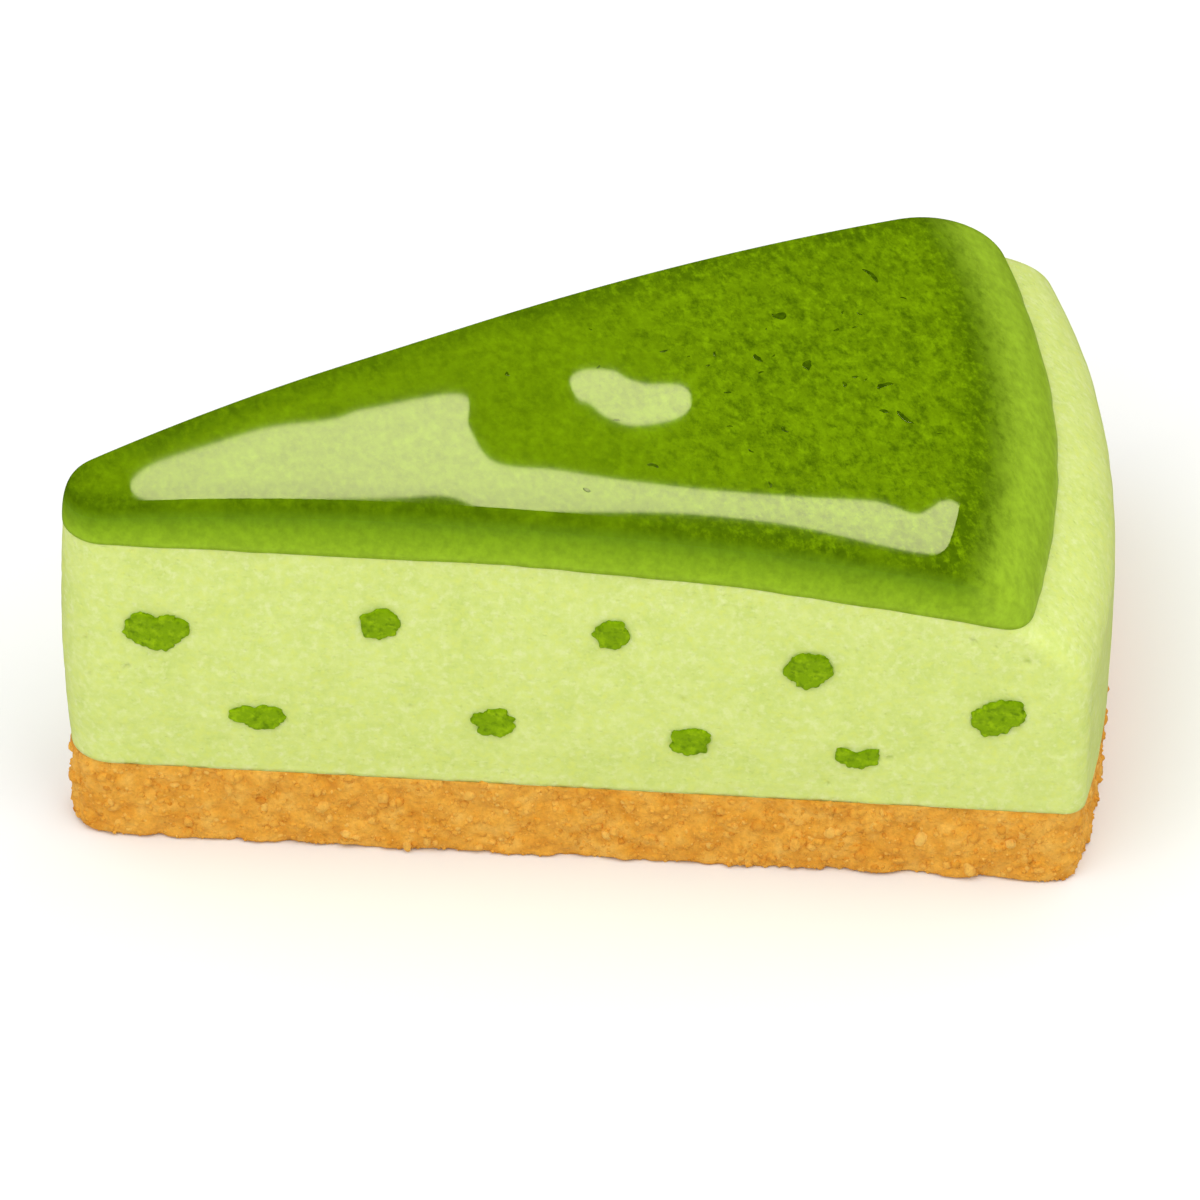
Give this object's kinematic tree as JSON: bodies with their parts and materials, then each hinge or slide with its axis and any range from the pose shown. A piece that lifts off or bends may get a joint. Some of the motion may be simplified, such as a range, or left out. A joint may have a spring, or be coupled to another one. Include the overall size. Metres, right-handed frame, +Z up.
{
  "type": "green tea cheesecake slice",
  "caption": "Wedge-shaped slice of green tea cheesecake: crumbly biscuit base, pale filling with chopped green bits in both cuts, thick glossy green glaze that stops short of the rim.",
  "frame": {"origin": "middle of the footprint of the slice, on the surface it stands on", "axes": "+X from the blunt nose towards the rim, halfway between the two knife cuts; +Z up; the shorter front cut faces -Y"},
  "size_m": [0.1074, 0.0644, 0.043],
  "materials": {
    "biscuit_crumb": "golden pressed biscuit crumb, matt and crumbly",
    "cheesecake_filling": "pale yellow-green cream cheese filling, smooth and softly moist",
    "green_bits": "chopped green bits, cut flat with the filling",
    "green_tea_glaze": "thick set green glaze, glossy",
    "tea_flecks": "fine dark flecks of tea leaf lying in the glaze"
  },
  "bodies": {
    "root": {"biscuit_base": "biscuit_crumb", "cheesecake_filling": "cheesecake_filling", "green_tea_glaze": "green_tea_glaze"}
  },
  "joints": []
}
